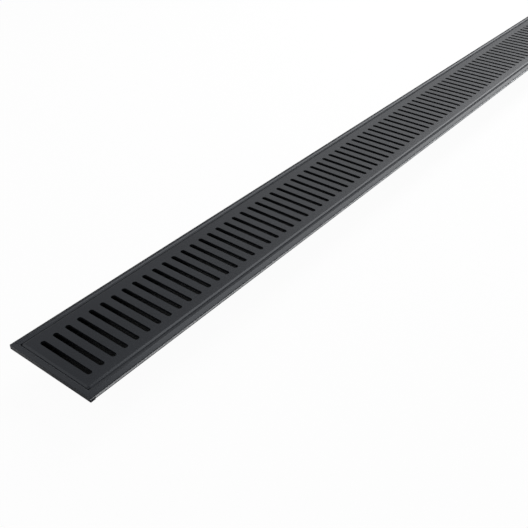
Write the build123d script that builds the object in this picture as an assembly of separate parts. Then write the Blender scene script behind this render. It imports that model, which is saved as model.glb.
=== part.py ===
from build123d import *
from math import cos, radians, sin
import os

# A slim linear channel drain, set flush with a tiled floor.
# A slotted grate lies on rubber cushions in a shallow folded pan. Four bevelled rails frame it,
# and an outlet for a waste pipe hangs under the middle of the pan.
# Millimetres. X runs along the drain, Z is up. The origin is under the middle of the drain, at the
# height of the outlet's lower end.

# Grate
slot_count = 89
slot_pitch = 13.2
slot_length = 61.0
slot_width = 4.8
slot_end_flats = 8
grate_width = 84.0
grate_thickness = 2.5
grate_end_margin = 12.8
grate_edge_radius = 2.0
grate_corner_radius = 2.4

# Room round the grate, and the cushions under it
grate_clearance = 0.4
cushion_thickness = 0.7
cushion_length = 14.0
cushion_width = 3.0
cushion_inset = 0.6
cushion_count = 8
cushion_end_distance = 45.0

# Rails: the shares are of a rail's width, so wide and narrow rails meet in one mitre
side_rail_width = 7.6
end_rail_width = 5.0
rail_inner_drop = 0.8
rail_outer_drop = 1.4
inner_chamfer_share = 0.40
crest_share = 0.06
end_rail_foot = 0.7
end_rail_web = 1.7
end_rail_cheek = 1.5
flange_clearance = 0.1

# Pan
sheet = 2.0
channel_depth = 20.0
ledge_width = 6.5
wall_lean = 2.0
bend_radius = 1.5

# Outlet
thread_radius = 23.9
thread_clearance = 0.1
thread_below_nut = 1.0
spigot_radius = 20.0
spigot_length = 10.5
spigot_wall = 2.2
spigot_chamfer = 0.8
outlet_flange_width = 6.1
outlet_flange_thickness = 1.5
outlet_lead_in = 1.0
flange_seal_thickness = 1.0
recess_clearance = 1.0
washer_width = 4.1
washer_thickness = 1.5
nut_wall = 4.1
nut_height = 4.5
nut_notch_count = 8
nut_notch_width = 7.0
nut_notch_depth = 2.0

# Levels, counted up from the outlet's lower end
recess_depth = outlet_flange_thickness + flange_seal_thickness
nut_under = spigot_length + thread_below_nut
washer_under = nut_under + nut_height
boss_under = washer_under + washer_thickness
pan_under = boss_under + recess_depth
pan_floor = pan_under + sheet
top = pan_under + channel_depth
grate_under = top - grate_thickness
ledge_top = grate_under - cushion_thickness
flange_under = ledge_top - sheet
rail_thickness = top - ledge_top
foot_under = flange_under - flange_clearance - end_rail_foot

# Plan sizes that follow
grate_length = (slot_count - 1) * slot_pitch + 2 * grate_end_margin
mouth_x = grate_length / 2 + grate_clearance
mouth_y = grate_width / 2 + grate_clearance
outer_x = mouth_x + end_rail_width
outer_y = mouth_y + side_rail_width
trough_x = mouth_x - ledge_width
trough_y = mouth_y - ledge_width
outlet_flange_radius = thread_radius + outlet_flange_width
nut_bore_radius = thread_radius + thread_clearance
nut_radius = nut_bore_radius + nut_wall


def evenly_spaced(count, half_span):
    """Positions of count things from -half_span to half_span."""
    step = 2 * half_span / (count - 1)
    return [i * step - half_span for i in range(count)]


def ring(outer, inner, bottom, height):
    """A flat ring about the outlet's axis."""
    disc = Cylinder(outer, height) - Cylinder(inner, height)
    return Pos(0, 0, bottom + height / 2) * disc


def slot_outline(x):
    """One slot across the grate. Each round end is drawn as a few short flats."""
    radius = slot_width / 2
    end_y = slot_length / 2 - radius
    step = 180 / slot_end_flats
    points = []
    for side in (1, -1):
        for i in range(slot_end_flats + 1):
            turn = radians(i * step)
            points.append((x + side * radius * cos(turn), side * (end_y + radius * sin(turn))))
    return Polygon(*points, align=None)


def make_grate():
    """Punched plate with a rounded upper edge and slots across it."""
    plate = Pos(0, 0, grate_under + grate_thickness / 2) * Box(
        grate_length, grate_width, grate_thickness)
    plate = fillet(plate.edges().filter_by(Axis.Z), grate_corner_radius)
    plate = fillet(plate.faces().sort_by(Axis.Z)[-1].edges(), grate_edge_radius)
    slot_centres = evenly_spaced(slot_count, (slot_count - 1) * slot_pitch / 2)
    slots = Sketch() + [slot_outline(x) for x in slot_centres]
    return plate - extrude(Pos(0, 0, grate_under) * slots, amount=grate_thickness)


def make_cushions():
    """Rubber strips on the pan's ledge, which stop the grate from rattling."""
    strip = Box(cushion_length, cushion_width, cushion_thickness)
    half_span = grate_length / 2 - cushion_end_distance
    middle_y = grate_width / 2 - cushion_inset - cushion_width / 2
    middle_z = ledge_top + cushion_thickness / 2
    return Compound(children=[
        Pos(x, side * middle_y, middle_z) * strip
        for side in (-1, 1)
        for x in evenly_spaced(cushion_count, half_span)
    ])


def rail_section(width, thickness):
    """Half-section of a rail: flat foot, inner chamfer, narrow crest, long outer bevel."""
    chamfer_end = inner_chamfer_share * width
    crest_end = chamfer_end + crest_share * width
    return Polygon(
        (0, -thickness), (0, -rail_inner_drop), (chamfer_end, 0),
        (crest_end, 0), (width, -rail_outer_drop), (width, -thickness), align=None)


def mitre_keep(rail_along_x):
    """The plan area of one rail between the two mitres, as a tall block."""
    if rail_along_x:
        outline = Polygon((-mouth_x, mouth_y), (mouth_x, mouth_y),
                          (outer_x, outer_y), (-outer_x, outer_y), align=None)
    else:
        outline = Polygon((mouth_x, -mouth_y), (outer_x, -outer_y),
                          (outer_x, outer_y), (mouth_x, mouth_y), align=None)
    return extrude(Pos(0, 0, ledge_top) * outline, amount=rail_thickness)


def make_side_rail(side):
    """Bevelled bar that lies on the flange, its crest flush with the grate."""
    section = Plane((0, mouth_y, top), x_dir=(0, 1, 0), z_dir=(1, 0, 0)) * rail_section(
        side_rail_width, rail_thickness)
    rail = extrude(section, amount=outer_x, both=True) & mitre_keep(True)
    return rail.mirror(Plane.XZ) if side < 0 else rail


def make_end_rail(side):
    """Bevelled bar with a deeper web and foot, grooved to push over the flange's end."""
    section = Plane((mouth_x, 0, top), x_dir=(1, 0, 0), z_dir=(0, -1, 0)) * rail_section(
        end_rail_width, rail_thickness)
    upper = extrude(section, amount=outer_y, both=True) & mitre_keep(False)
    lower_height = ledge_top - foot_under
    lower = Pos((mouth_x + outer_x) / 2, 0, foot_under + lower_height / 2) * Box(
        end_rail_width, 2 * outer_y, lower_height)
    groove_depth = end_rail_width - end_rail_web
    groove_height = sheet + flange_clearance
    groove = Pos(mouth_x + groove_depth / 2, 0, ledge_top - groove_height / 2) * Box(
        groove_depth, 2 * (outer_y - end_rail_cheek), groove_height)
    rail = upper + (lower - groove)
    return rail.mirror(Plane.YZ) if side < 0 else rail


def make_channel():
    """Folded sheet between the end walls: flange, leaning wall, floor, wall and flange."""
    flange_z = ledge_top - sheet / 2
    floor_z = pan_floor - sheet / 2
    floor_y = trough_y - wall_lean
    fold = FilletPolyline(
        (-outer_y, flange_z), (-trough_y, flange_z), (-floor_y, floor_z),
        (floor_y, floor_z), (trough_y, flange_z), (outer_y, flange_z),
        radius=bend_radius + sheet / 2)
    section = Plane.YZ * trace(fold, sheet)
    return extrude(section, amount=trough_x + sheet, both=True)


def make_pan_end():
    """End wall, ledge and flange at one end, with a narrower tab for the end rail's groove."""
    flange_z = ledge_top - sheet / 2
    floor_z = pan_floor - sheet / 2
    floor_y = trough_y - wall_lean
    outline = Plane.YZ.offset(trough_x) * Polygon(
        (-trough_y, flange_z), (-floor_y, floor_z), (floor_y, floor_z), (trough_y, flange_z),
        align=None)
    wall = extrude(outline, amount=sheet)
    flange_end = mouth_x - flange_clearance
    flange = Pos((trough_x + flange_end) / 2, 0, flange_z) * Box(
        flange_end - trough_x, 2 * outer_y, sheet)
    tab_end = outer_x - end_rail_web - flange_clearance
    tab = Pos((trough_x + tab_end) / 2, 0, flange_z) * Box(
        tab_end - trough_x, 2 * (outer_y - end_rail_cheek - flange_clearance), sheet)
    return wall + flange + tab


def make_pan():
    """Folded sheet channel, closed by welded ends, with a round outlet recess pressed in it."""
    end = make_pan_end()
    recess_radius = outlet_flange_radius + recess_clearance
    boss_height = pan_floor - boss_under
    middle_z = boss_under + boss_height / 2
    boss = Pos(0, 0, middle_z) * Cylinder(recess_radius + sheet, boss_height)
    recess = Pos(0, 0, pan_floor - recess_depth / 2) * Cylinder(recess_radius, recess_depth)
    outlet_hole = Pos(0, 0, middle_z) * Cylinder(nut_bore_radius, boss_height)
    return make_channel() + end + end.mirror(Plane.YZ) + boss - recess - outlet_hole


def make_outlet_body():
    """A thin flange in the pan's recess, a threaded neck through the floor, a plain spigot."""
    seat = boss_under + sheet + flange_seal_thickness
    upper_end = seat + outlet_flange_thickness
    neck_under = nut_under - thread_below_nut
    neck = Pos(0, 0, (neck_under + upper_end) / 2) * Cylinder(
        thread_radius, upper_end - neck_under)
    spigot = Pos(0, 0, neck_under / 2) * Cylinder(spigot_radius, neck_under)
    spigot = chamfer(spigot.faces().sort_by(Axis.Z)[0].edges(), spigot_chamfer)
    disc = Pos(0, 0, seat + outlet_flange_thickness / 2) * Cylinder(
        outlet_flange_radius, outlet_flange_thickness)
    bore_radius = spigot_radius - spigot_wall
    bore = Pos(0, 0, upper_end / 2) * Cylinder(bore_radius, upper_end)
    lead_in = Pos(0, 0, upper_end - outlet_lead_in / 2) * Cone(
        bore_radius, bore_radius + outlet_lead_in, outlet_lead_in)
    return neck + spigot + disc - bore - lead_in


def make_flange_seal():
    """Rubber ring between the outlet's flange and the floor of the recess."""
    return ring(outlet_flange_radius, nut_bore_radius, boss_under + sheet,
                flange_seal_thickness)


def make_washer():
    """Rubber washer between the pan and the back nut."""
    return ring(nut_bore_radius + washer_width, nut_bore_radius, washer_under,
                washer_thickness)


def make_back_nut():
    """Ring nut with notches round its rim for a pin wrench."""
    nut = ring(nut_radius, nut_bore_radius, nut_under, nut_height)
    notch = Pos(nut_radius, 0, nut_under + nut_height / 2) * Box(
        2 * nut_notch_depth, nut_notch_width, nut_height)
    for i in range(nut_notch_count):
        nut = nut - Rot(0, 0, i * 360 / nut_notch_count) * notch
    return nut


pieces = {
    "grate": make_grate(),
    "grate_cushions": make_cushions(),
    "trough_pan": make_pan(),
    "side_rail_front": make_side_rail(-1),
    "side_rail_back": make_side_rail(1),
    "end_rail_left": make_end_rail(-1),
    "end_rail_right": make_end_rail(1),
    "outlet_body": make_outlet_body(),
    "outlet_flange_seal": make_flange_seal(),
    "outlet_washer": make_washer(),
    "outlet_back_nut": make_back_nut(),
}

os.makedirs("parts", exist_ok=True)
for name, shape in pieces.items():
    export_step(shape, f"parts/{name}.step")
    print(name, "volume", round(shape.volume), "mm3")
print("overall", 2 * outer_x, 2 * outer_y, top)
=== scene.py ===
# %% [markdown]
# # A slotted channel drain
# A long shower drain: a grate with slots across it lies in a shallow folded pan, four bevelled
# rails frame it, and a plastic outlet hangs under the pan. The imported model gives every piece's
# real size and place. This script gives the pieces their finer shapes and their finishes.
# Everything is in metres, Z is up, and the drain runs along X.

# %% Load the frame
from math import atan2, cos, degrees, pi, radians, sin, tan, tau

import bmesh
import bpy
from mathutils import Matrix, Vector


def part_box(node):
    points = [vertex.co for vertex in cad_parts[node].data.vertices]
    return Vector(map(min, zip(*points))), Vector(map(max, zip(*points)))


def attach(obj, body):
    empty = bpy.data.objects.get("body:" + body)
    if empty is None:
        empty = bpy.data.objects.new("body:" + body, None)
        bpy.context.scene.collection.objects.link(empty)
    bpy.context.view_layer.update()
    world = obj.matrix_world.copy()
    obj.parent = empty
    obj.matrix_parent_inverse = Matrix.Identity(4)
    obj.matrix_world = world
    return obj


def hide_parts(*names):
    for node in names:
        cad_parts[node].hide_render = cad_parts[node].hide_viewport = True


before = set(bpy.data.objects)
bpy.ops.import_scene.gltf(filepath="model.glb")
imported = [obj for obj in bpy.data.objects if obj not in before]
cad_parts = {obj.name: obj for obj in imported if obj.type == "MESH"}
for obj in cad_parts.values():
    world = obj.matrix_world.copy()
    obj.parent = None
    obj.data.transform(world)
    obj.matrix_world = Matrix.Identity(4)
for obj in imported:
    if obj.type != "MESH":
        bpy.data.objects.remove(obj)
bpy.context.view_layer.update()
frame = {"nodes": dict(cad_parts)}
nodes = frame["nodes"]
MM = 0.001
print("nodes:", sorted(nodes))

# %% [markdown]
# ## Sizes
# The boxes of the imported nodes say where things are, so the finer pieces are measured from
# them. Only what a box can't tell, such as the slots' pitch, is written here as a number. A
# punch draws the rim of a slot in a little, and the eye sees that wider opening, so the slots
# are 0.2 mm wider and 0.4 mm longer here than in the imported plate.

# %% Read the main sizes
grate_low, grate_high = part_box("grate")
pan_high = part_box("trough_pan")[1]
rail_low, rail_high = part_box("side_rail_front")
cushion_low, cushion_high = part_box("grate_cushions")
outlet_low, outlet_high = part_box("outlet_body")

TOP = grate_high.z
GRATE_HALF_LENGTH = grate_high.x
GRATE_HALF_WIDTH = grate_high.y
SLOT_COUNT = 89
SLOT_PITCH = 13.2 * MM
SLOT_LENGTH = 61.4 * MM
SLOT_WIDTH = 5.0 * MM
GRATE_CLEARANCE = 0.4 * MM
MOUTH_X = GRATE_HALF_LENGTH + GRATE_CLEARANCE
MOUTH_Y = GRATE_HALF_WIDTH + GRATE_CLEARANCE
print("grate", [round(2000 * v, 1) for v in (GRATE_HALF_LENGTH, GRATE_HALF_WIDTH)], "mm")

# %% [markdown]
# ## Small helpers for shapes
# Most of this drain is either turned, folded or pressed. A turned shape starts as a profile of
# radius and height that goes once round Z. A slot is turned too: a short tube with rounded
# lips is turned, and then its two halves are pulled apart, so the faces between them stretch
# into straight sides. One helper does each of these things. The helpers make their faces one
# by one, because the spin and extrude operators order them in another way on each run.

# %% Turn, spread and finish
NEAR = 0.001 * MM
SHARP_FROM = radians(50)
ROUND_STEPS = 3


def turned(bm, profile, steps, closed=False, half_turn_start=False):
    """Turns a profile of (radius, height) pairs once round Z and returns the new vertices."""
    first = 0.5 if half_turn_start else 0
    rings = []
    for step in range(steps):
        turn = tau * (step + first) / steps
        rings.append([bm.verts.new((radius * cos(turn), radius * sin(turn), height))
                      for radius, height in profile])
    for ring, after in zip(rings, rings[1:] + rings[:1]):
        if closed:
            ring, after = ring + ring[:1], after + after[:1]
        for i in range(len(ring) - 1):
            bm.faces.new((ring[i], after[i], after[i + 1], ring[i + 1]))
    return [v for ring in rings for v in ring]


def spread(verts, half_x, half_y):
    """Pulls the four quarters of a turned shape apart, along X and along Y."""
    for v in verts:
        v.co.x += half_x if v.co.x > 0 else -half_x
        v.co.y += half_y if v.co.y > 0 else -half_y


def pulled(bm, edges, distance):
    """Pulls edges along X into new faces and returns the faces' far edges."""
    ends = [tuple(e.verts) for e in edges]
    far = {}
    for v in (v for pair in ends for v in pair):
        if v not in far:
            far[v] = bm.verts.new(v.co + Vector((distance, 0, 0)))
    for a, b in ends:
        bm.faces.new((a, b, far[b], far[a]))
    return [bm.edges.get((far[a], far[b])) for a, b in ends]


def arc(centre_radius, centre_height, radius, start, end, steps):
    """Points of a profile along an arc, from one angle to another, in degrees."""
    turns = [radians(start + (end - start) * i / steps) for i in range(steps + 1)]
    return [(centre_radius + radius * cos(t), centre_height + radius * sin(t)) for t in turns]


def flat_scale(steps):
    """How much a ring of straight steps must grow for its flats to lie at its radius."""
    return 1 / cos(pi / steps)


def edges_at(bm, height):
    """Open edges that lie at one height."""
    return [e for e in bm.edges
            if e.is_boundary and all(abs(v.co.z - height) < NEAR for v in e.verts)]


def finish_piece(bm, name, slot, *stands_for):
    """Makes a bmesh a named piece that rides on the drain and takes the place of CAD nodes."""
    mesh = bpy.data.meshes.new(name)
    for face in bm.faces:
        face.smooth = True
    for edge in bm.edges:
        edge.smooth = not edge.is_manifold or edge.calc_face_angle() < SHARP_FROM
    bm.to_mesh(mesh)
    bm.free()
    piece = bpy.data.objects.new(name, mesh)
    bpy.context.scene.collection.objects.link(piece)
    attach(piece, "root")
    if stands_for:
        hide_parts(*stands_for)
    shading = piece.modifiers.new("even shading", "WEIGHTED_NORMAL")
    shading.keep_sharp = True
    print(name, len(mesh.polygons), "faces")
    return piece


# %% [markdown]
# ## The grate
# The real grate is a plate with slots punched across it. All round, its upper edge slopes down
# a little before it rounds off, and that slope is the light line along the plate. A boolean
# would leave ragged faces round 89 slots, so the plate is made the other way round: first the
# rim and the slots' walls are turned and spread, then the flat top and underside are filled in
# between them. Each slot has a slightly broken edge. The plate is drawn up to its frame more
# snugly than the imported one, so that the joint round it shows as a fine line.

# %% Turn the rim and the slots, then fill the plate
SLOT_STEPS = 24
SLOT_LIP = 0.06 * MM
SLOT_LIP_STEPS = 2
BURR_EDGE = 0.15 * MM
GRATE_CORNER = 3.3 * MM
EDGE_SLOPE = radians(15.5)
EDGE_SLOPE_WIDTH = 1.8 * MM
EDGE_ROUND = 1.2 * MM
EDGE_ROUND_STEPS = 6
EDGE_EASING = 0.12 * MM
GRATE_SNUG = 0.3 * MM
RIM_STEPS = 48


def grate_rim():
    """The plate's edge from the underside up: burr, rounding, shallow slope, flat top."""
    under = grate_low.z
    slope_in = EDGE_SLOPE_WIDTH * cos(EDGE_SLOPE)
    slope_up = EDGE_SLOPE_WIDTH * sin(EDGE_SLOPE)
    round_top = TOP - slope_up
    round_centre = round_top - EDGE_ROUND * cos(EDGE_SLOPE)
    rim = [(GRATE_CORNER - BURR_EDGE, under), (GRATE_CORNER, under + BURR_EDGE)]
    rim += arc(GRATE_CORNER - EDGE_ROUND, round_centre, EDGE_ROUND, 0,
               90 - degrees(EDGE_SLOPE), EDGE_ROUND_STEPS)
    foot = rim[-1][0]
    rim += [(foot - slope_in + EDGE_EASING, TOP - EDGE_EASING * tan(EDGE_SLOPE)),
            (foot - slope_in - EDGE_EASING, TOP)]
    return rim


def make_grate():
    """The whole plate: rim, slots, then its two flat faces."""
    bm = bmesh.new()
    under = grate_low.z
    grow = flat_scale(RIM_STEPS)
    rim_verts = turned(bm, [(r * grow, z) for r, z in grate_rim()], RIM_STEPS,
                       half_turn_start=True)
    spread(rim_verts, GRATE_HALF_LENGTH + GRATE_SNUG - GRATE_CORNER,
           GRATE_HALF_WIDTH + GRATE_SNUG - GRATE_CORNER)
    rim_faces = set(bm.faces)

    radius = SLOT_WIDTH / 2
    wall = arc(radius + SLOT_LIP, TOP - SLOT_LIP, SLOT_LIP, 90, 180, SLOT_LIP_STEPS)
    wall += [(radius, under + BURR_EDGE), (radius + BURR_EDGE, under)]
    grow = flat_scale(SLOT_STEPS)
    for number in range(SLOT_COUNT):
        slot_verts = turned(bm, [(r * grow, z) for r, z in wall], SLOT_STEPS,
                            half_turn_start=True)
        spread(slot_verts, 0, SLOT_LENGTH / 2 - radius)
        x = (number - (SLOT_COUNT - 1) / 2) * SLOT_PITCH
        bmesh.ops.translate(bm, verts=slot_verts, vec=(x, 0, 0))
    for face in set(bm.faces) - rim_faces:
        face.material_index = 1
    for height in (TOP, under):
        bmesh.ops.triangle_fill(bm, edges=edges_at(bm, height), use_beauty=True)
    bmesh.ops.recalc_face_normals(bm, faces=bm.faces[:])
    return finish_piece(bm, "slotted_grate", "grate", "grate")


slotted_grate = make_grate()

# %% [markdown]
# ## Rails with eased edges
# The four rails are straight bars with mitred ends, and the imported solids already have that
# form. Real anodised bars have edges that are very slightly rounded, so that they catch the
# light as thin lines. A copy of each solid has its triangles merged back to flat faces, and
# then a narrow bevel runs along every sharp edge.

# %% Ease the edges of a copied solid
RAIL_EASING = 0.12 * MM
RAIL_SHARP_FROM = radians(20)
FLAT_WITHIN = radians(1)


def round_edges(bm, edges, offset, steps=2):
    """Rounds edges evenly, with faces that keep the material beside them."""
    bmesh.ops.bevel(bm, geom=edges, offset=offset, offset_type="OFFSET", affect="EDGES",
                    segments=steps, profile=0.5, material=-1, clamp_overlap=True)


def eased_copy(node, name, slot, easing, sharp_from):
    """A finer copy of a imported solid, with its sharp edges rounded."""
    bm = bmesh.new()
    bm.from_mesh(nodes[node].data)
    bmesh.ops.remove_doubles(bm, verts=bm.verts[:], dist=NEAR)
    bmesh.ops.dissolve_limit(bm, angle_limit=FLAT_WITHIN, verts=bm.verts[:], edges=bm.edges[:])
    round_edges(bm, [e for e in bm.edges if e.is_manifold and e.calc_face_angle() > sharp_from],
                easing)
    return finish_piece(bm, name, slot, node)


rails = [eased_copy(node, node + "_eased", "rail", RAIL_EASING, RAIL_SHARP_FROM)
         for node in ("side_rail_front", "side_rail_back", "end_rail_left", "end_rail_right")]

# %% [markdown]
# ## The folded pan
# The pan is one bent sheet with welded ends. A Solidify modifier could thicken one surface. Here
# both faces are made by the same function, once for the upper face and once for the lower one,
# half a sheet either side of the middle, so that each bend has its exact radius and the cut
# edges can be faces of their own. The channel's section is extruded, its folds are rounded, an
# end wall and a flange are added at each end, and a round recess is turned into the floor.

# %% Fold one face of the sheet
SHEET = 2.0 * MM
FOLD_RADIUS = 1.5 * MM
FOLD_STEPS = 6
WALL_LEAN = 2.0 * MM
LEDGE_WIDTH = 6.5 * MM
TAB_INSET = 1.6 * MM
FLANGE_GAP = 0.1 * MM
PAN_FLOOR = 22.0 * MM
RECESS_RADIUS = 31.0 * MM
RECESS_DEPTH = 2.5 * MM
RECESS_BEND = 0.6 * MM
RECESS_BEND_STEPS = 4
RECESS_STEPS = 64
NECK_HOLE_RADIUS = 24.0 * MM
TROUGH_X = MOUTH_X - LEDGE_WIDTH
TROUGH_Y = MOUTH_Y - LEDGE_WIDTH


def bent_channel(bm, lift, flange_z, floor_z, end_x):
    """Extrudes the channel's section along X and rounds its four folds."""
    lean = atan2(WALL_LEAN, flange_z - floor_z)
    inward = lift * tan(radians(45) - lean / 2)
    wall_y = TROUGH_Y - inward
    floor_y = wall_y - WALL_LEAN
    half = [(floor_y, floor_z), (wall_y, flange_z), (pan_high.y - TAB_INSET, flange_z),
            (pan_high.y, flange_z)]
    section = [(-y, z) for y, z in reversed(half)] + half
    points = [bm.verts.new((-end_x, y, z)) for y, z in section]
    lines = [bm.edges.new(pair) for pair in zip(points, points[1:])]
    pulled(bm, lines, 2 * end_x)
    bm.normal_update()
    turn = radians(90) - lean
    for height, side in ((flange_z, 1), (floor_z, -1)):
        bend = FOLD_RADIUS + SHEET / 2 + side * lift
        folds = [e for e in bm.edges if e.is_manifold and e.calc_face_angle() > SHARP_FROM
                 and all(abs(v.co.z - height) < NEAR for v in e.verts)]
        round_edges(bm, folds, bend * tan(turn / 2), FOLD_STEPS)


def closed_end(bm, side, flange_z, end_x):
    """Fills the end wall and grows the flange and its tab outwards from it."""
    open_edges = [e for e in bm.edges if e.is_boundary
                  and all(abs(v.co.x - side * end_x) < NEAR for v in e.verts)]
    wall = [e for e in open_edges if any(v.co.z < flange_z - NEAR for v in e.verts)]
    corners = {v for e in wall for v in e.verts if v.co.z > flange_z - NEAR}
    top = bm.edges.new(sorted(corners, key=lambda v: v.co.y))
    bmesh.ops.contextual_create(bm, geom=wall + [top])
    flange_x = MOUTH_X - FLANGE_GAP
    inner = [e for e in open_edges if e not in wall] + [top]
    flange = pulled(bm, inner, side * (flange_x - end_x))
    tab_y = pan_high.y - TAB_INSET
    tab = [e for e in flange if all(abs(v.co.y) < tab_y + NEAR for v in e.verts)]
    pulled(bm, tab, side * (pan_high.x - flange_x))


def pressed_recess(bm, lift, floor_z):
    """Turns the round recess and fills the floor between it and the folds."""
    floor = [f for f in bm.faces if all(abs(v.co.z - floor_z) < NEAR for v in f.verts)]
    floor_edges = [e for f in floor for e in f.edges]
    bmesh.ops.delete(bm, geom=floor, context="FACES_ONLY")
    radius = RECESS_RADIUS + SHEET / 2 - lift
    recess_z = floor_z - RECESS_DEPTH
    profile = arc(radius + RECESS_BEND, floor_z - RECESS_BEND, RECESS_BEND, 90, 180,
                  RECESS_BEND_STEPS)
    profile += arc(radius - RECESS_BEND, recess_z + RECESS_BEND, RECESS_BEND, 0, -90,
                   RECESS_BEND_STEPS)
    profile += [(NECK_HOLE_RADIUS, recess_z)]
    ring = turned(bm, profile, RECESS_STEPS)
    rim = [e for e in edges_at(bm, floor_z) if all(v in ring for v in e.verts)]
    bmesh.ops.triangle_fill(bm, edges=floor_edges + rim, use_beauty=True)


def sheet_face(bm, lift):
    """One face of the pan's sheet, moved by lift from the middle, up and into the trough."""
    flange_z = pan_high.z - SHEET / 2 + lift
    floor_z = PAN_FLOOR - SHEET / 2 + lift
    end_x = TROUGH_X + SHEET / 2 - lift
    bent_channel(bm, lift, flange_z, floor_z, end_x)
    for side in (-1, 1):
        closed_end(bm, side, flange_z, end_x)
    pressed_recess(bm, lift, floor_z)


# %% [markdown]
# The two faces of the sheet are still apart, and each is open round its outline and round the
# outlet's hole. A face bridged between two such loops is where the real sheet was cut, so
# those faces get the second material.

# %% Join the two faces round their cut edges
def at_outlet_hole(edge):
    """Whether an open edge lies round the outlet's hole and not on the sheet's outline."""
    return all(v.co.xy.length < RECESS_RADIUS for v in edge.verts)


def make_pan():
    """Both faces of the sheet, and the cut edges between them."""
    bm = bmesh.new()
    for lift in (SHEET / 2, -SHEET / 2):
        face = bmesh.new()
        sheet_face(face, lift)
        half = bpy.data.meshes.new("one face of the sheet")
        face.to_mesh(half)
        face.free()
        bm.from_mesh(half)
        bpy.data.meshes.remove(half)
    open_edges = [e for e in bm.edges if e.is_boundary]
    for wanted in (True, False):
        edges = [e for e in open_edges if at_outlet_hole(e) == wanted]
        for cut in bmesh.ops.bridge_loops(bm, edges=edges)["faces"]:
            cut.material_index = 1
    bmesh.ops.recalc_face_normals(bm, faces=bm.faces[:])
    print("open edges left in the pan:", sum(e.is_boundary for e in bm.edges))
    return finish_piece(bm, "folded_pan", "pan_sheet", "trough_pan")


folded_pan = make_pan()

# %% [markdown]
# ## Rubber cushions
# Short strips of rubber on the ledge carry the grate and stop it rattling. A strip is a small
# block with rounded edges, and it is set down in two rows.

# %% Cut the strips and set them down
CUSHION_COUNT = 8
CUSHION_LENGTH = 14.0 * MM
CUSHION_WIDTH = 3.0 * MM
CUSHION_EASING = 0.2 * MM


def make_cushions():
    """Two rows of strips on the ledge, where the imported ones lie."""
    bm = bmesh.new()
    height = cushion_high.z - cushion_low.z
    reach_x = cushion_high.x - CUSHION_LENGTH / 2
    row_y = cushion_high.y - CUSHION_WIDTH / 2
    for side in (-1, 1):
        for number in range(CUSHION_COUNT):
            x = reach_x * (2 * number / (CUSHION_COUNT - 1) - 1)
            block = bmesh.ops.create_cube(bm, size=1)["verts"]
            bmesh.ops.scale(bm, verts=block, vec=(CUSHION_LENGTH, CUSHION_WIDTH, height))
            bmesh.ops.translate(bm, verts=block,
                                vec=(x, side * row_y, cushion_low.z + height / 2))
    round_edges(bm, bm.edges[:], CUSHION_EASING)
    return finish_piece(bm, "cushion_strips", "cushion_rubber", "grate_cushions")


cushion_strips = make_cushions()

# %% [markdown]
# ## The outlet
# The outlet is a moulded pipe stub. Its flange lies in the pan's recess, its thread passes
# through the hole, and a plain spigot below takes the waste pipe. All of it is turned, so one
# closed profile makes the whole piece, thread included: the ridges are rings, because at this
# size a ring can't be told from one turn of a thread.

# %% Turn the outlet body
THREAD_RADIUS = 23.9 * MM
THREAD_DEPTH = 0.8 * MM
THREAD_PITCH = 1.6 * MM
THREAD_START = 0.4 * MM
CREST_FROM = 0.40
CREST_TO = 0.60
SPIGOT_RADIUS = 20.0 * MM
SPIGOT_ROUND = 0.8 * MM
BORE_RADIUS = 17.8 * MM
FLANGE_RADIUS = 30.0 * MM
FLANGE_THICKNESS = 1.5 * MM
FLANGE_ROUND = 0.5 * MM
OUTLET_EASING = 0.3 * MM
LEAD_IN = 1.0 * MM
NECK_UNDER = 10.5 * MM
THREAD_TOP = 17.3 * MM
TURNED_STEPS = 96


def make_outlet():
    """Spigot, threaded neck and flange as one closed profile, from the bore's lower end up."""
    top = outlet_high.z
    low = outlet_low.z
    seat = top - FLANGE_THICKNESS
    ease = OUTLET_EASING
    root = THREAD_RADIUS - THREAD_DEPTH
    profile = [(BORE_RADIUS, low + ease), (BORE_RADIUS + ease, low)]
    profile += arc(SPIGOT_RADIUS - SPIGOT_ROUND, low + SPIGOT_ROUND, SPIGOT_ROUND, -90, 0,
                   ROUND_STEPS)
    profile += [(SPIGOT_RADIUS, NECK_UNDER - ease), (SPIGOT_RADIUS + ease, NECK_UNDER)]
    profile += [(root, NECK_UNDER)]
    height = NECK_UNDER + THREAD_START
    while height + THREAD_PITCH < THREAD_TOP:
        profile += [(root, height), (THREAD_RADIUS, height + CREST_FROM * THREAD_PITCH),
                    (THREAD_RADIUS, height + CREST_TO * THREAD_PITCH)]
        height += THREAD_PITCH
    profile += [(root, height), (THREAD_RADIUS, height + ease)]
    profile += [(THREAD_RADIUS, seat), (FLANGE_RADIUS - ease, seat)]
    profile += arc(FLANGE_RADIUS - FLANGE_ROUND, top - FLANGE_ROUND, FLANGE_ROUND, 0, 90,
                   ROUND_STEPS)
    profile += [(BORE_RADIUS + LEAD_IN, top), (BORE_RADIUS, top - LEAD_IN)]
    bm = bmesh.new()
    turned(bm, profile, TURNED_STEPS, closed=True)
    bmesh.ops.recalc_face_normals(bm, faces=bm.faces[:])
    return finish_piece(bm, "outlet_stub", "outlet_plastic", "outlet_body")


outlet_stub = make_outlet()

# %% [markdown]
# ## Seal, washer and back nut
# Two rubber rings seal the outlet, one above the pan's floor and one below it, and the nut
# pulls them tight. The rings are turned with soft edges. The nut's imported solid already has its
# notches, so it is copied and eased like the rails.

# %% Turn the rubber rings and ease the nut
RUBBER_EASING = 0.25 * MM
NUT_EASING = 0.3 * MM
NUT_SHARP_FROM = radians(40)


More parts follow.
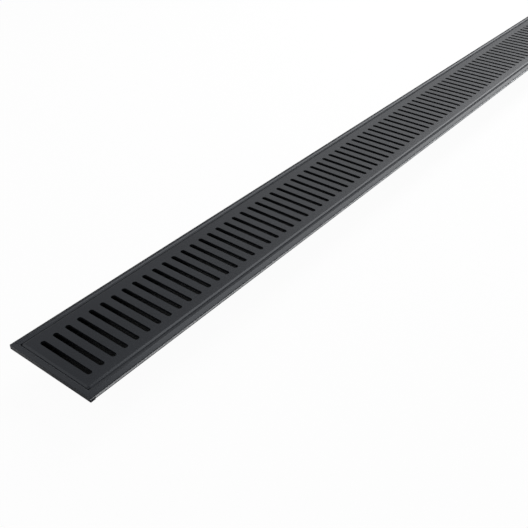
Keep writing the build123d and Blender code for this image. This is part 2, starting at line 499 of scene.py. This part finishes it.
def rubber_ring(node, name, inner):
    """A flat ring with rounded edges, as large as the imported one."""
    low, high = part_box(node)
    ease = RUBBER_EASING
    corners = ((high.x - ease, low.z + ease, -90), (high.x - ease, high.z - ease, 0),
               (inner + ease, high.z - ease, 90), (inner + ease, low.z + ease, 180))
    profile = []
    for radius, height, start in corners:
        profile += arc(radius, height, ease, start, start + 90, ROUND_STEPS)
    bm = bmesh.new()
    turned(bm, profile, TURNED_STEPS, closed=True)
    bmesh.ops.recalc_face_normals(bm, faces=bm.faces[:])
    return finish_piece(bm, name, "seal_rubber", node)


rubber_rings = [rubber_ring("outlet_flange_seal", "flange_seal_ring", NECK_HOLE_RADIUS),
                rubber_ring("outlet_washer", "washer_ring", NECK_HOLE_RADIUS)]
back_nut = eased_copy("outlet_back_nut", "back_nut_eased", "nut_plastic", NUT_EASING,
                      NUT_SHARP_FROM)

# %% [markdown]
# ## Rail screws
# Small screws pass up through the flange and hold the side rails. Only their heads show, low
# and round with a six-sided socket. The head's rounded edge and the socket's walls are turned,
# and their upper ends are closed. Six flat faces lie between the socket and the round edge.

# %% Turn one screw head and repeat it
SCREWS_PER_RAIL = 9
SCREW_END_DISTANCE = 42.0 * MM
SCREW_RADIUS = 2.6 * MM
SCREW_HEAD = 1.0 * MM
SCREW_ROUND = 0.7 * MM
SCREW_ROUND_STEPS = 4
SCREW_STEPS = 24
SOCKET_SIDES = 6
SOCKET_RADIUS = 1.25 * MM
SOCKET_DEPTH = 0.8 * MM


def screw_head(bm, seat_z):
    """One head round the Z axis, under the height where it is seated. Returns its vertices."""
    face_z = seat_z - SCREW_HEAD
    profile = [(SCREW_RADIUS, seat_z)]
    profile += arc(SCREW_RADIUS - SCREW_ROUND, face_z + SCREW_ROUND, SCREW_ROUND, 0, -90,
                   SCREW_ROUND_STEPS)
    head = turned(bm, profile, SCREW_STEPS)
    socket = turned(bm, [(SOCKET_RADIUS, face_z), (SOCKET_RADIUS, face_z + SOCKET_DEPTH)],
                    SOCKET_SIDES, half_turn_start=True)
    seat, rim = head[::len(profile)], head[len(profile) - 1::len(profile)]
    mouth, bottom = socket[::2], socket[1::2]
    bm.faces.new(seat)
    bm.faces.new(bottom)
    per_side = SCREW_STEPS // SOCKET_SIDES
    for side in range(SOCKET_SIDES):
        first = side * per_side + per_side // 2
        outer = [rim[(first + i) % SCREW_STEPS] for i in range(per_side + 1)]
        bm.faces.new(outer + [mouth[(side + 1) % SOCKET_SIDES], mouth[side]])
    return head + socket


def make_screws():
    """A row of screw heads under each side rail."""
    bm = bmesh.new()
    row_y = -(rail_low.y + rail_high.y) / 2
    reach_x = GRATE_HALF_LENGTH - SCREW_END_DISTANCE
    for side in (-1, 1):
        for number in range(SCREWS_PER_RAIL):
            x = reach_x * (2 * number / (SCREWS_PER_RAIL - 1) - 1)
            bmesh.ops.translate(bm, verts=screw_head(bm, pan_high.z - SHEET),
                                vec=(x, side * row_y, 0))
    bmesh.ops.recalc_face_normals(bm, faces=bm.faces[:])
    return finish_piece(bm, "rail_screws", "rail")


rail_screws = make_screws()

# %% [markdown]
# ## Finishes
# A finish is a small tree of nodes. To keep the sums in it readable, a number that comes out of
# a node is wrapped in a class that knows plus, minus and times, so a pattern can be written as
# an ordinary expression. Any other node is made by one method, with its settings first and its
# sockets after them.

# %% Write shader sums as expressions
class Number:
    """A number socket that can be added, subtracted and multiplied in plain Python."""

    def __init__(self, nodes, socket):
        self.nodes = nodes
        self.socket = socket

    def __add__(self, other):
        return self.nodes.sum("ADD", self, other)

    def __sub__(self, other):
        return self.nodes.sum("SUBTRACT", self, other)

    def __mul__(self, other):
        return self.nodes.sum("MULTIPLY", self, other)

    def __rsub__(self, other):
        return self.nodes.sum("SUBTRACT", other, self)

    __radd__ = __add__
    __rmul__ = __mul__


class Nodes:
    """An emptied node tree, and the methods that fill it."""

    def __init__(self, owner):
        owner.use_nodes = True
        self.tree = owner.node_tree
        self.tree.nodes.clear()

    def node(self, kind, settings=None, sockets=None):
        """Adds a node, sets its settings, then its sockets' values or links."""
        made = self.tree.nodes.new(kind)
        for name, value in (settings or {}).items():
            setattr(made, name, value)
        for key, value in (sockets or {}).items():
            self.feed(made.inputs[key], value)
        return made

    def feed(self, socket, value):
        """Links a socket or a Number, or sets a plain value."""
        if isinstance(value, Number):
            value = value.socket
        if isinstance(value, bpy.types.NodeSocket):
            self.tree.links.new(value, socket)
        else:
            socket.default_value = value

    def number(self, kind, output, settings=None, sockets=None):
        """Adds a node and returns one of its outputs as a Number."""
        return Number(self, self.node(kind, settings, sockets).outputs[output])

    def sum(self, operation, a, b):
        """Adds a node for one operation on two numbers."""
        return self.number("ShaderNodeMath", 0, {"operation": operation}, {0: a, 1: b})

    def step(self, value, low, high):
        """0 below low, 1 above high, and smooth between them."""
        return self.number("ShaderNodeMapRange", 0, {"interpolation_type": "SMOOTHSTEP"},
                           {"Value": value, "From Min": low, "From Max": high})


class Finish(Nodes):
    """A material with one Principled shader, and helpers that build its patterns."""

    def __init__(self, name, **constants):
        self.material = bpy.data.materials.new(name)
        super().__init__(self.material)
        self.shader = self.node("ShaderNodeBsdfPrincipled", sockets=constants)
        self.node("ShaderNodeOutputMaterial", sockets={"Surface": self.shader.outputs[0]})
        self.place = self.node("ShaderNodeTexCoord").outputs["Object"]

    def set(self, **inputs):
        """Feeds the shader's own inputs, whose names are written with _ for a space."""
        for name, value in inputs.items():
            self.feed(self.shader.inputs[name.replace("_", " ")], value)

    def place_along(self, axis):
        """Where a point lies along X, Y or Z, in metres."""
        return self.number("ShaderNodeSeparateXYZ", axis, None, {0: self.place})

    def noise(self, size, stretch=(1, 1, 1), detail=4.0, roughness=0.6):
        """A soft pattern from 0 to 1 whose patches are about size metres across."""
        scale = [s / size for s in stretch]
        mapped = self.node("ShaderNodeMapping", None, {"Vector": self.place, "Scale": scale})
        return self.number("ShaderNodeTexNoise", "Fac", None,
                           {"Vector": mapped.outputs[0], "Scale": 1.0, "Detail": detail,
                            "Roughness": roughness})

    def blend(self, factor, a, b):
        """A colour between two colours."""
        return self.node("ShaderNodeMix", {"data_type": "RGBA"},
                         {"Factor": factor, 6: a, 7: b}).outputs[2]

    def bump(self, height, distance, strength=1.0):
        """Feeds the shader's Normal from a height that is distance metres at 1."""
        bent = self.node("ShaderNodeBump", None,
                         {"Height": height, "Distance": distance, "Strength": strength})
        self.set(Normal=bent.outputs[0])


def give(finish, *pieces):
    """Adds a finish to the pieces, after those that they have."""
    for piece in pieces:
        piece.data.materials.append(finish.material)


# %% [markdown]
# ### Black anodised metal
# The grate and rails are satin black with a slight blue cast. The colour itself is almost
# black; what shows is the soft reflection on top, which grows towards a flat view, so the
# index of refraction is set well under that of glass. Fine grain breaks it up, cloudy patches
# vary it slowly, and drawn lines run along the rails. In the joint beside the plate the rails
# are duller, and their colour is painted a little lighter there: painted light that lifts the
# shade in the groove. Along their foot the side rails show bare metal.

# %% Anodised grate and rails
BLACK = (0.0080, 0.0094, 0.0127, 1)
WORN_BLACK = (0.0112, 0.0129, 0.0168, 1)
# A lighter colour for the joint beside the plate: painted light that lifts the shade in the
# groove.
JOINT_PAINTED_LIGHT = (0.0180, 0.0195, 0.0230, 1)
COOL_SHEEN = (0.90, 0.945, 1.0, 1)
ANODISED_IOR = 1.275
ANODISED_ROUGHNESS = 0.27
ROUGHNESS_SWING = 0.10
ANODISED_CLOUD = 60 * MM
ANODISED_GRAIN = 0.35 * MM
DRAWN_LINE = 0.5 * MM
LINE_STRETCH = 0.02
ANODISED_RELIEF = 0.010 * MM
SIDE_JOINT = 1.6 * MM
END_JOINT = 1.0 * MM
JOINT_FADE = 0.3 * MM
JOINT_DULLNESS = 0.35
BARE_METAL = (0.42, 0.43, 0.44, 1)
BARE_LINE = 0.8 * MM
EDGE_FADE = 0.1 * MM


def anodised(name, line_stretch, grain_share, joint=None, bare_up_to=None):
    """Satin black. joint is an axis and how far out from the middle the joint reaches, where the
    bar is duller and its colour is painted lighter as painted light for the groove.
    """
    finish = Finish(name, IOR=ANODISED_IOR, **{"Specular Tint": COOL_SHEEN})
    cloud = finish.noise(ANODISED_CLOUD, (0.5, 1, 1), detail=3)
    grain = finish.noise(ANODISED_GRAIN, detail=2)
    lines = finish.noise(DRAWN_LINE, line_stretch, detail=3)
    tone = cloud * 0.6 + grain * 0.4
    colour = finish.blend(finish.step(tone, 0.35, 0.7), BLACK, WORN_BLACK)
    if bare_up_to:
        bare = 1 - finish.step(finish.place_along("Z"), bare_up_to - EDGE_FADE,
                               bare_up_to + EDGE_FADE)
        colour = finish.blend(bare, colour, BARE_METAL)
        finish.set(Metallic=bare)
    swing = (cloud - 0.5) * ROUGHNESS_SWING + (lines - 0.5) * ROUGHNESS_SWING
    roughness = swing + ANODISED_ROUGHNESS
    if joint:
        axis, reach = joint
        distance = finish.number("ShaderNodeMath", 0, {"operation": "ABSOLUTE"},
                                 {0: finish.place_along(axis)})
        # In the joint the bar is duller, and its colour blends to the lighter joint colour:
        # painted light for the groove's shade.
        dull_and_painted_light = 1 - finish.step(distance, reach - JOINT_FADE, reach + JOINT_FADE)
        roughness = roughness + dull_and_painted_light * JOINT_DULLNESS
        colour = finish.blend(dull_and_painted_light, colour, JOINT_PAINTED_LIGHT)
    finish.set(Base_Color=colour, Roughness=roughness)
    finish.bump(grain * grain_share + lines * (1 - grain_share), ANODISED_RELIEF, 0.5)
    return finish


front_rail, back_rail, left_rail, right_rail = rails
give(anodised("black anodised plate", (1, 1, 1), 0.6), slotted_grate)
give(anodised("black anodised side bar", (LINE_STRETCH, 1, 1), 0.15, ("Y", MOUTH_Y + SIDE_JOINT),
              rail_low.z + BARE_LINE), front_rail, back_rail)
give(anodised("black anodised end bar", (1, LINE_STRETCH, 1), 0.15, ("X", MOUTH_X + END_JOINT)),
     left_rail, right_rail)
print("anodised:", slotted_grate.name, *[rail.name for rail in rails])

# %% [markdown]
# ### The walls of the slots
# A punch shears the metal, so the walls of the slots are rough and reflect almost nothing. They
# are the grate's second material, with tears that run down the wall.

# %% Punched walls
WALL_BLACK = (0.0045, 0.005, 0.006, 1)
TORN_BLACK = (0.009, 0.010, 0.012, 1)
TEAR_SIZE = 0.4 * MM
DOWN_THE_WALL = (1, 1, 0.25)


def punched_wall():
    """Dull and torn, for the second material of the grate."""
    finish = Finish("punched slot wall", IOR=1.15)
    tears = finish.noise(TEAR_SIZE, DOWN_THE_WALL, detail=3)
    finish.set(Base_Color=finish.blend(tears, WALL_BLACK, TORN_BLACK),
               Roughness=tears * 0.2 + 0.5)
    finish.bump(tears, 0.03 * MM, 0.6)
    return finish


give(punched_wall(), slotted_grate)
print("materials of the grate:", slotted_grate.data.materials.keys())

# %% [markdown]
# ### The pan's coated sheet and its bare cut edge
# The pan is coated before it is cut, so the long cut edge of the flange shows bright bare
# metal. The faces that bridge the two sides of the sheet have their own material for it. The
# lower part of the edge, below a wandering line, is black.

# %% Coated sheet and cut edge
BARE_FROM = 0.45 * SHEET
BARE_WANDER = 0.4 * MM
DULL_BLACK = (0.0030, 0.0032, 0.0036, 1)
DUSTY_BLACK = (0.0055, 0.0058, 0.0064, 1)
CUT_GREY = (0.38, 0.39, 0.40, 1)
CUT_BRIGHT = (0.60, 0.61, 0.62, 1)


def coated_sheet():
    """Dull black coat, a little dusty in patches."""
    finish = Finish("coated pan sheet", IOR=1.2)
    cloud = finish.noise(45 * MM, detail=3)
    grain = finish.noise(0.5 * MM, detail=3)
    finish.set(Base_Color=finish.blend(finish.step(cloud, 0.3, 0.7), DULL_BLACK, DUSTY_BLACK),
               Roughness=(cloud - 0.5) * 0.15 + 0.5)
    finish.bump(grain, 0.02 * MM, 0.5)
    return finish


def cut_edge():
    """Bare metal above a wandering line, black below it, with streaks across the edge."""
    finish = Finish("bare cut edge")
    streaks = finish.noise(0.3 * MM, (1, 1, 0.1), detail=2)
    wander = finish.noise(12 * MM, (1, 1, 0), detail=3)
    level = finish.place_along("Z") - (pan_high.z - SHEET) + (wander - 0.5) * BARE_WANDER
    bright = finish.step(level, BARE_FROM - EDGE_FADE, BARE_FROM + EDGE_FADE)
    metal = finish.blend(streaks, CUT_GREY, CUT_BRIGHT)
    finish.set(Base_Color=finish.blend(bright, BLACK, metal), Metallic=bright,
               Roughness=0.5 - bright * 0.12)
    finish.bump(streaks, 0.02 * MM, 0.6)
    return finish


give(coated_sheet(), folded_pan)
give(cut_edge(), folded_pan)
print("materials of the pan:", folded_pan.data.materials.keys())

# %% [markdown]
# ### Rubber, moulded plastic and steel
# Rubber is dull and dusty. Moulded plastic has a fine even texture and a soft sheen, and its
# shade varies slowly as the melt flowed. The screws are plain steel with fine marks.

# %% Rubber, plastic and steel
RUBBER_BLACK = (0.012, 0.012, 0.012, 1)
RUBBER_DUST = (0.035, 0.034, 0.033, 1)
STEEL_GREY = (0.30, 0.30, 0.31, 1)
STEEL_BRIGHT = (0.52, 0.52, 0.53, 1)
BLACK_PLASTIC = ((0.018, 0.018, 0.019, 1), (0.028, 0.028, 0.030, 1))
GREY_PLASTIC = ((0.075, 0.076, 0.080, 1), (0.105, 0.106, 0.110, 1))


def rubber():
    """Dull black with pale dust in patches."""
    finish = Finish("black rubber", IOR=1.45)
    dust = finish.noise(4 * MM, detail=5)
    finish.set(Base_Color=finish.blend(finish.step(dust, 0.45, 0.75), RUBBER_BLACK, RUBBER_DUST),
               Roughness=dust * 0.2 + 0.65)
    finish.bump(finish.noise(0.4 * MM), 0.03 * MM, 0.6)
    return finish


def moulded(name, shades, base_roughness):
    """Moulded plastic between two shades, with the mould's fine texture."""
    finish = Finish(name, IOR=1.49)
    flow = finish.noise(25 * MM, (1, 1, 2), detail=3)
    grain = finish.noise(0.3 * MM, detail=2)
    finish.set(Base_Color=finish.blend(flow, *shades),
               Roughness=(flow - 0.5) * 0.2 + base_roughness)
    finish.bump(grain, 0.02 * MM, 0.5)
    return finish


def steel():
    """Bare steel with fine marks."""
    finish = Finish("steel screw", Metallic=1.0)
    marks = finish.noise(0.2 * MM, detail=2)
    finish.set(Base_Color=finish.blend(marks, STEEL_GREY, STEEL_BRIGHT),
               Roughness=marks * 0.2 + 0.25)
    finish.bump(marks, 0.01 * MM, 0.5)
    return finish


give(rubber(), cushion_strips, *rubber_rings)
give(moulded("moulded black plastic", BLACK_PLASTIC, 0.45), outlet_stub)
give(moulded("moulded grey plastic", GREY_PLASTIC, 0.5), back_nut)
give(steel(), rail_screws)
print("finishes:", len(bpy.data.materials))

# %% [markdown]
# ## Floor
# The drain lies on a pale floor. Paint alone would have to be lit very evenly to look like
# white paper, so to the camera the floor glows almost white, with a small share of the painted
# look for a trace of shadow. To every other ray it is pale paint, which lights the drain softly
# from below.

# %% Floor
FLOOR_SIZE = 12.0
FLOOR_WHITE_SHARE = 0.96
FLOOR_PAINT = (0.8, 0.8, 0.8, 1)


def make_floor():
    """A square under the drain that stays out of the part."""
    bm = bmesh.new()
    bmesh.ops.create_grid(bm, x_segments=1, y_segments=1, size=FLOOR_SIZE / 2)
    mesh = bpy.data.meshes.new("floor")
    bm.to_mesh(mesh)
    bm.free()
    floor = bpy.data.objects.new("floor", mesh)
    bpy.context.scene.collection.objects.link(floor)
    material = bpy.data.materials.new("pale floor")
    mesh.materials.append(material)
    nodes = Nodes(material)
    camera_ray = nodes.number("ShaderNodeLightPath", "Is Camera Ray")
    paint = nodes.node("ShaderNodeBsdfDiffuse", None, {"Color": FLOOR_PAINT})
    white = nodes.node("ShaderNodeEmission", None, {"Color": (1, 1, 1, 1), "Strength": 1.0})
    mixed = nodes.node("ShaderNodeMixShader", None,
                       {0: camera_ray * FLOOR_WHITE_SHARE, 1: paint.outputs[0],
                        2: white.outputs[0]})
    nodes.node("ShaderNodeOutputMaterial", None, {"Surface": mixed.outputs[0]})


make_floor()
print("floor", FLOOR_SIZE, "m wide")

# %% [markdown]
# ## World
# A satin black plate seen at a flat angle shows mostly what it mirrors, so the world has three
# looks. To the camera it is white. As a light it is dim, which leaves the shaping to the lamps.
# In reflections it is white overhead and darkens towards the horizon, as a room does: the flat
# plate mirrors the white, and the bevels that lean away from the camera mirror the dark.

# %% World
WORLD_LEVEL = 0.12
HORIZON_LEVEL = 0.03
HORIZON_TOP = radians(18)
HORIZON_LOW = radians(5)


def make_world():
    """White to the camera, dim as a light, dark at the horizon in reflections."""
    world = bpy.data.worlds.new("white room")
    bpy.context.scene.world = world
    nodes = Nodes(world)
    rays = nodes.node("ShaderNodeLightPath").outputs
    to_camera = Number(nodes, rays["Is Camera Ray"])
    mirrored = nodes.sum("MAXIMUM", rays["Is Glossy Ray"], rays["Is Transmission Ray"])
    direction = nodes.node("ShaderNodeTexCoord").outputs["Generated"]
    up = nodes.number("ShaderNodeSeparateXYZ", "Z", None, {0: direction})
    room = HORIZON_LEVEL + nodes.step(up, sin(HORIZON_LOW), sin(HORIZON_TOP)) * (1 - HORIZON_LEVEL)
    unseen = WORLD_LEVEL + mirrored * (room - WORLD_LEVEL)
    strength = to_camera + (1 - to_camera) * unseen
    light = nodes.node("ShaderNodeBackground", None,
                       {"Color": (1, 1, 1, 1), "Strength": strength})
    nodes.node("ShaderNodeOutputWorld", None, {"Surface": light.outputs[0]})


make_world()
print("world", bpy.context.scene.world.name)

# %% [markdown]
# ## Lamps
# Five soft lamps shape the metal, and the camera doesn't see them. The bevels that lean to the
# front mirror the long strip over the drain and stand out as light lines. A panel past the far
# end makes the plate lighter in that direction. The end rail's bevel mirrors the panel over the
# near end. The panel in front and the lamp behind the camera light the faces that look their
# way, such as the cut edge. A lamp's energy grows with its area here, so that its brightness
# in a reflection is the same whatever its size.

# %% Lamps
def soft_lamp(name, place, target, size, radiance):
    """An area lamp whose surface is radiance times as bright as white."""
    lamp = bpy.data.lights.new(name, "AREA")
    lamp.shape = "RECTANGLE"
    lamp.size, lamp.size_y = size
    lamp.energy = radiance * pi * size[0] * size[1]
    holder = bpy.data.objects.new(name, lamp)
    holder.location = place
    away = Vector(place) - Vector(target)
    holder.rotation_euler = away.to_track_quat("Z", "Y").to_euler()
    holder.visible_camera = False
    bpy.context.scene.collection.objects.link(holder)


soft_lamp("strip over the drain", place=(1.42, 0.19, 1.0), target=(1.42, 0.19, 0),
          size=(3.0, 0.62), radiance=4.6)
soft_lamp("panel past the far end", place=(2.35, 1.3, 1.3), target=(0, 0, 0),
          size=(1.8, 1.1), radiance=0.31)
soft_lamp("panel over the near end", place=(-0.85, 0.9, 1.1), target=(-0.6, 0, 0),
          size=(0.8, 0.7), radiance=1.3)
soft_lamp("panel in front of the drain", place=(0.7, -0.8, 0.85), target=(0.4, 0, 0),
          size=(2.0, 0.8), radiance=1.2)
soft_lamp("lamp behind the camera", place=(-1.5, -0.3, 1.0), target=(-0.5, 0, 0),
          size=(0.6, 0.6), radiance=4.0)
print("lamps:", bpy.data.lights.keys())

# %% [markdown]
# ## Camera
# The camera stands past the near end, in front of the drain and above it, and looks along it.
# Its place, heading, tilt and lens were fitted to the photograph, so that the slots fall where
# they do there.

# %% Camera
CAMERA_PLACE = Vector((-837.11, -397.54, 456.33)) * MM
CAMERA_HEADING = radians(37.205)
CAMERA_DOWN = radians(35.725)
CAMERA_ROLL = radians(0.724)
CAMERA_LENS = 50.22
CAMERA_SENSOR = 36

camera = bpy.data.objects.new("camera", bpy.data.cameras.new("camera"))
camera.data.lens = CAMERA_LENS
camera.data.sensor_width = CAMERA_SENSOR
ahead = Vector((cos(CAMERA_DOWN) * cos(CAMERA_HEADING), cos(CAMERA_DOWN) * sin(CAMERA_HEADING),
                -sin(CAMERA_DOWN)))
turn = ahead.to_track_quat("-Z", "Y") @ Matrix.Rotation(CAMERA_ROLL, 3, "Z").to_quaternion()
camera.location = CAMERA_PLACE
camera.rotation_euler = turn.to_euler()
bpy.context.scene.collection.objects.link(camera)
bpy.context.scene.camera = camera
bpy.context.scene.view_settings.view_transform = "Standard"
print("camera lens", CAMERA_LENS, "mm, looking down", round(degrees(CAMERA_DOWN), 1), "degrees")
